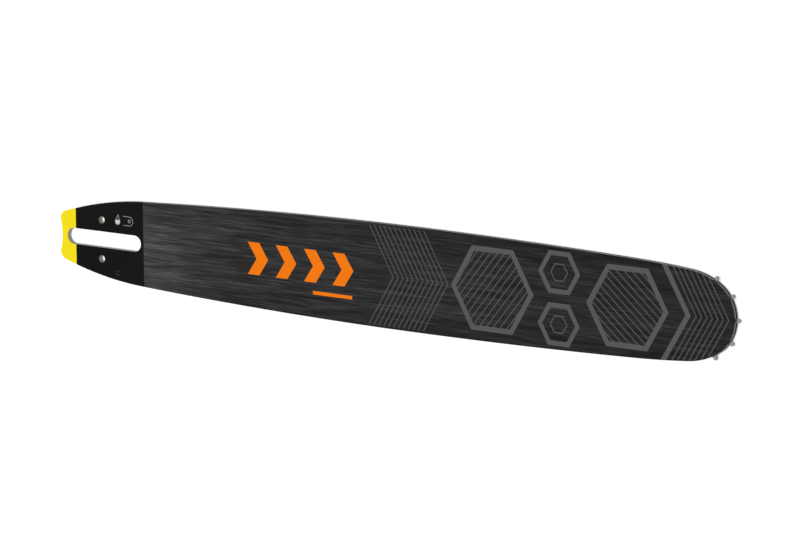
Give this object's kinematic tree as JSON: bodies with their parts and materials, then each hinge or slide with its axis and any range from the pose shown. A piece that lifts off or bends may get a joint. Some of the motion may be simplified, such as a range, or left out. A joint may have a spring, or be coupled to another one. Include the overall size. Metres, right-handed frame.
{
  "type": "chainsaw guide bar",
  "caption": "Flat laminated guide bar for a chainsaw, with a clamping slot in its tail, a chain groove round its edge and a toothed wheel that turns in its nose",
  "frame": {"origin": "midway between the two chain adjuster holes, on the centreline of the stud slot, in the plane of the rear face", "axes": "+X from the tail to the nose, +Y across the bar towards its upper edge in the picture, +Z through it from the rear face to the front face"},
  "size_m": [0.593, 0.076, 0.0047],
  "materials": {
    "lacquered_steel": "black lacquer over dark brushed steel",
    "core_steel": "rolled",
    "wheel_steel": "hardened and tumbled",
    "bearing_steel": "ground"
  },
  "bodies": {
    "bar": {"front_side_plate": "lacquered_steel", "rear_side_plate": "lacquered_steel", "core_plate": "core_steel", "inner_race": "bearing_steel", "nose_rivets": "lacquered_steel"},
    "wheel": {"nose_wheel": "wheel_steel"},
    "rollers": {"needle_rollers": "bearing_steel"}
  },
  "joints": [
    {"name": "wheel_spin", "type": "hinge", "parent": "bar", "child": "wheel", "pos_m": [0.5214, 0, 0.00235], "axis": [0, 0, 1], "continuous": true},
    {"name": "roller_orbit", "type": "hinge", "parent": "bar", "child": "rollers", "pos_m": [0.5214, 0, 0.00235], "axis": [0, 0, 1], "continuous": true}
  ],
  "couplings": [
    {"joint": "roller_orbit", "follows": "wheel_spin", "ratio": 0.548}
  ]
}
